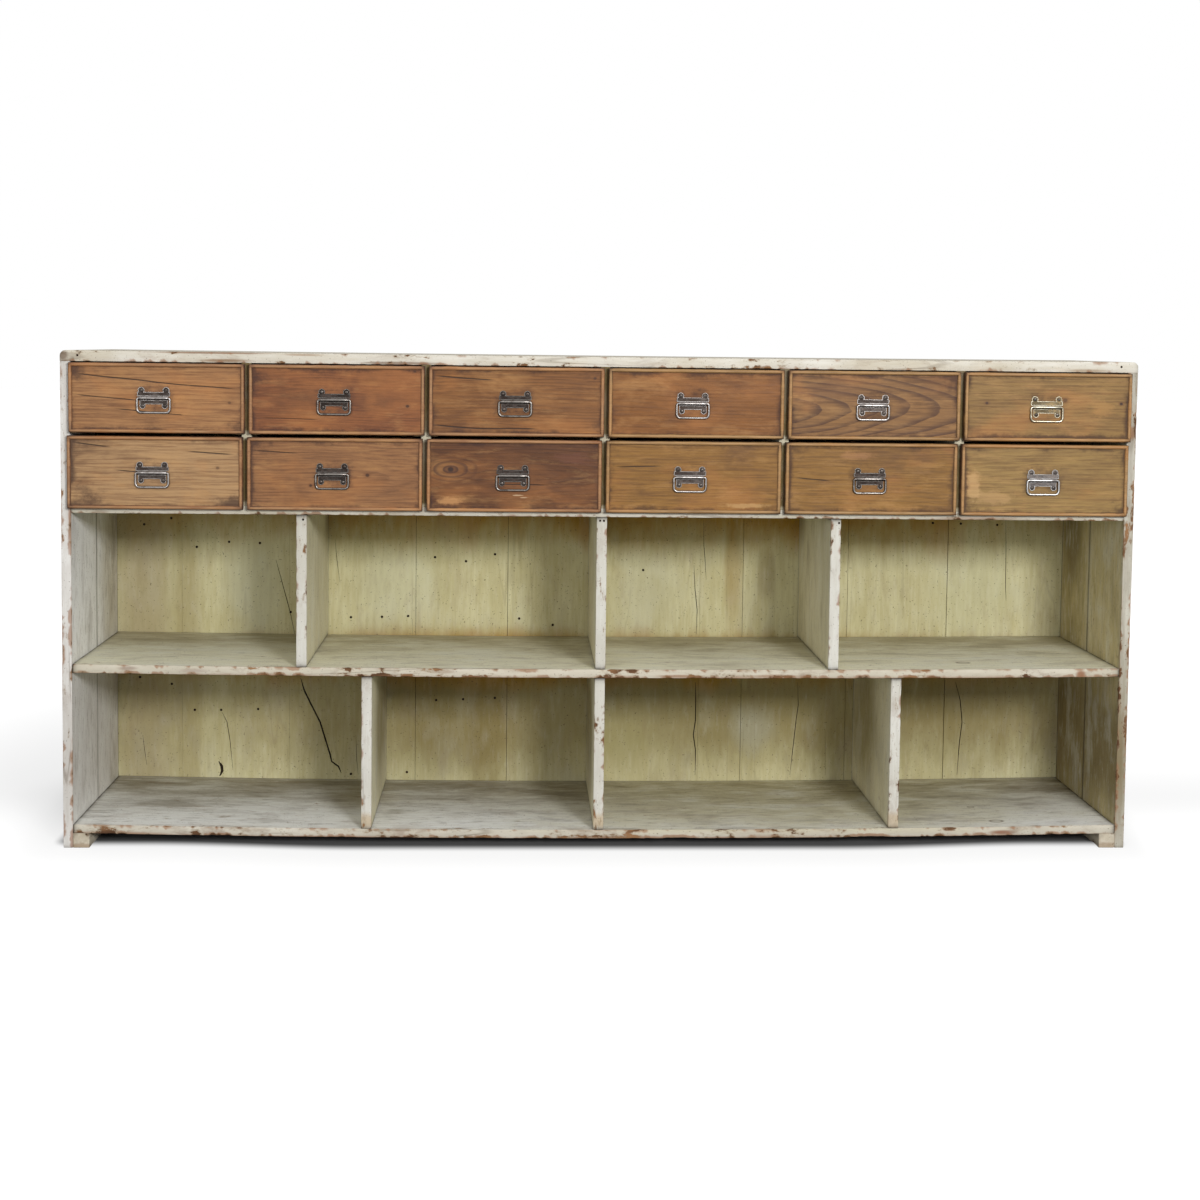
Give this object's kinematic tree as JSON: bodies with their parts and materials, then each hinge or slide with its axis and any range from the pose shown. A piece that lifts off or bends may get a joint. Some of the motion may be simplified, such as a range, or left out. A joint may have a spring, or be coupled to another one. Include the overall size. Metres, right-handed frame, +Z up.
{
  "type": "sideboard",
  "caption": "Long low counter-shaped sideboard: two rows of lipped drawers with hanging wire bail pulls, over two rows of open shelf bays, boarded at the back.",
  "frame": {"origin": "on the floor, in the middle of the width and of the whole depth, pulls included", "axes": "+X to the right seen from the front, +Y to the back, +Z up; the drawers face -Y"},
  "size_m": [2, 0.4222, 0.925],
  "materials": {
    "carcase_paint": "worn off-white paint over pine, matt",
    "back_board_paint": "aged yellow-olive paint on pine boards, matt",
    "drawer_front_pine": "stripped and waxed old pine, satin",
    "box_pine": "unfinished aged pine, matt",
    "tarnished_steel": "tarnished sheet and wire, satin with worn bright spots"
  },
  "bodies": {
    "carcase": {"top_board": "carcase_paint", "left_side": "carcase_paint", "right_side": "carcase_paint", "left_foot": "carcase_paint", "right_foot": "carcase_paint", "drawer_deck": "carcase_paint", "drawer_partitions": "carcase_paint", "drawer_runners": "box_pine", "middle_shelf": "carcase_paint", "bottom_shelf": "carcase_paint", "shelf_dividers": "carcase_paint", "back_boards": "back_board_paint"},
    "upper_drawer_1": {"upper_drawer_1_front": "drawer_front_pine", "upper_drawer_1_box": "box_pine", "upper_drawer_1_pull_plate": "tarnished_steel"},
    "upper_drawer_2": {"upper_drawer_2_front": "drawer_front_pine", "upper_drawer_2_box": "box_pine", "upper_drawer_2_pull_plate": "tarnished_steel"},
    "upper_drawer_3": {"upper_drawer_3_front": "drawer_front_pine", "upper_drawer_3_box": "box_pine", "upper_drawer_3_pull_plate": "tarnished_steel"},
    "upper_drawer_4": {"upper_drawer_4_front": "drawer_front_pine", "upper_drawer_4_box": "box_pine", "upper_drawer_4_pull_plate": "tarnished_steel"},
    "upper_drawer_5": {"upper_drawer_5_front": "drawer_front_pine", "upper_drawer_5_box": "box_pine", "upper_drawer_5_pull_plate": "tarnished_steel"},
    "upper_drawer_6": {"upper_drawer_6_front": "drawer_front_pine", "upper_drawer_6_box": "box_pine", "upper_drawer_6_pull_plate": "tarnished_steel"},
    "lower_drawer_1": {"lower_drawer_1_front": "drawer_front_pine", "lower_drawer_1_box": "box_pine", "lower_drawer_1_pull_plate": "tarnished_steel"},
    "lower_drawer_2": {"lower_drawer_2_front": "drawer_front_pine", "lower_drawer_2_box": "box_pine", "lower_drawer_2_pull_plate": "tarnished_steel"},
    "lower_drawer_3": {"lower_drawer_3_front": "drawer_front_pine", "lower_drawer_3_box": "box_pine", "lower_drawer_3_pull_plate": "tarnished_steel"},
    "lower_drawer_4": {"lower_drawer_4_front": "drawer_front_pine", "lower_drawer_4_box": "box_pine", "lower_drawer_4_pull_plate": "tarnished_steel"},
    "lower_drawer_5": {"lower_drawer_5_front": "drawer_front_pine", "lower_drawer_5_box": "box_pine", "lower_drawer_5_pull_plate": "tarnished_steel"},
    "lower_drawer_6": {"lower_drawer_6_front": "drawer_front_pine", "lower_drawer_6_box": "box_pine", "lower_drawer_6_pull_plate": "tarnished_steel"},
    "upper_bail_1": {"upper_drawer_1_bail": "tarnished_steel"},
    "upper_bail_2": {"upper_drawer_2_bail": "tarnished_steel"},
    "upper_bail_3": {"upper_drawer_3_bail": "tarnished_steel"},
    "upper_bail_4": {"upper_drawer_4_bail": "tarnished_steel"},
    "upper_bail_5": {"upper_drawer_5_bail": "tarnished_steel"},
    "upper_bail_6": {"upper_drawer_6_bail": "tarnished_steel"},
    "lower_bail_1": {"lower_drawer_1_bail": "tarnished_steel"},
    "lower_bail_2": {"lower_drawer_2_bail": "tarnished_steel"},
    "lower_bail_3": {"lower_drawer_3_bail": "tarnished_steel"},
    "lower_bail_4": {"lower_drawer_4_bail": "tarnished_steel"},
    "lower_bail_5": {"lower_drawer_5_bail": "tarnished_steel"},
    "lower_bail_6": {"lower_drawer_6_bail": "tarnished_steel"}
  },
  "joints": [
    {"name": "upper_drawer_1_slide", "type": "slide", "parent": "carcase", "child": "upper_drawer_1", "axis": [0, -1, 0], "range_m": [0, 0.3]},
    {"name": "upper_drawer_2_slide", "type": "slide", "parent": "carcase", "child": "upper_drawer_2", "axis": [0, -1, 0], "range_m": [0, 0.3]},
    {"name": "upper_drawer_3_slide", "type": "slide", "parent": "carcase", "child": "upper_drawer_3", "axis": [0, -1, 0], "range_m": [0, 0.3]},
    {"name": "upper_drawer_4_slide", "type": "slide", "parent": "carcase", "child": "upper_drawer_4", "axis": [0, -1, 0], "range_m": [0, 0.3]},
    {"name": "upper_drawer_5_slide", "type": "slide", "parent": "carcase", "child": "upper_drawer_5", "axis": [0, -1, 0], "range_m": [0, 0.3]},
    {"name": "upper_drawer_6_slide", "type": "slide", "parent": "carcase", "child": "upper_drawer_6", "axis": [0, -1, 0], "range_m": [0, 0.3]},
    {"name": "lower_drawer_1_slide", "type": "slide", "parent": "carcase", "child": "lower_drawer_1", "axis": [0, -1, 0], "range_m": [0, 0.3]},
    {"name": "lower_drawer_2_slide", "type": "slide", "parent": "carcase", "child": "lower_drawer_2", "axis": [0, -1, 0], "range_m": [0, 0.3]},
    {"name": "lower_drawer_3_slide", "type": "slide", "parent": "carcase", "child": "lower_drawer_3", "axis": [0, -1, 0], "range_m": [0, 0.3]},
    {"name": "lower_drawer_4_slide", "type": "slide", "parent": "carcase", "child": "lower_drawer_4", "axis": [0, -1, 0], "range_m": [0, 0.3]},
    {"name": "lower_drawer_5_slide", "type": "slide", "parent": "carcase", "child": "lower_drawer_5", "axis": [0, -1, 0], "range_m": [0, 0.3]},
    {"name": "lower_drawer_6_slide", "type": "slide", "parent": "carcase", "child": "lower_drawer_6", "axis": [0, -1, 0], "range_m": [0, 0.3]},
    {"name": "upper_bail_1_hinge", "type": "hinge", "parent": "upper_drawer_1", "child": "upper_bail_1", "pos_m": [-0.82763, -0.20765, 0.839], "axis": [-1, 0, 0], "range_deg": [0, 150]},
    {"name": "upper_bail_2_hinge", "type": "hinge", "parent": "upper_drawer_2", "child": "upper_bail_2", "pos_m": [-0.4993, -0.20765, 0.839], "axis": [-1, 0, 0], "range_deg": [0, 150]},
    {"name": "upper_bail_3_hinge", "type": "hinge", "parent": "upper_drawer_3", "child": "upper_bail_3", "pos_m": [-0.16697, -0.20765, 0.839], "axis": [-1, 0, 0], "range_deg": [0, 150]},
    {"name": "upper_bail_4_hinge", "type": "hinge", "parent": "upper_drawer_4", "child": "upper_bail_4", "pos_m": [0.16187, -0.20765, 0.839], "axis": [-1, 0, 0], "range_deg": [0, 150]},
    {"name": "upper_bail_5_hinge", "type": "hinge", "parent": "upper_drawer_5", "child": "upper_bail_5", "pos_m": [0.4982, -0.20765, 0.839], "axis": [-1, 0, 0], "range_deg": [0, 150]},
    {"name": "upper_bail_6_hinge", "type": "hinge", "parent": "upper_drawer_6", "child": "upper_bail_6", "pos_m": [0.82503, -0.20765, 0.839], "axis": [-1, 0, 0], "range_deg": [0, 150]},
    {"name": "lower_bail_1_hinge", "type": "hinge", "parent": "lower_drawer_1", "child": "lower_bail_1", "pos_m": [-0.83103, -0.20765, 0.702], "axis": [-1, 0, 0], "range_deg": [0, 150]},
    {"name": "lower_bail_2_hinge", "type": "hinge", "parent": "lower_drawer_2", "child": "lower_bail_2", "pos_m": [-0.5027, -0.20765, 0.702], "axis": [-1, 0, 0], "range_deg": [0, 150]},
    {"name": "lower_bail_3_hinge", "type": "hinge", "parent": "lower_drawer_3", "child": "lower_bail_3", "pos_m": [-0.17037, -0.20765, 0.702], "axis": [-1, 0, 0], "range_deg": [0, 150]},
    {"name": "lower_bail_4_hinge", "type": "hinge", "parent": "lower_drawer_4", "child": "lower_bail_4", "pos_m": [0.15847, -0.20765, 0.702], "axis": [-1, 0, 0], "range_deg": [0, 150]},
    {"name": "lower_bail_5_hinge", "type": "hinge", "parent": "lower_drawer_5", "child": "lower_bail_5", "pos_m": [0.4948, -0.20765, 0.702], "axis": [-1, 0, 0], "range_deg": [0, 150]},
    {"name": "lower_bail_6_hinge", "type": "hinge", "parent": "lower_drawer_6", "child": "lower_bail_6", "pos_m": [0.82163, -0.20765, 0.702], "axis": [-1, 0, 0], "range_deg": [0, 150]}
  ]
}
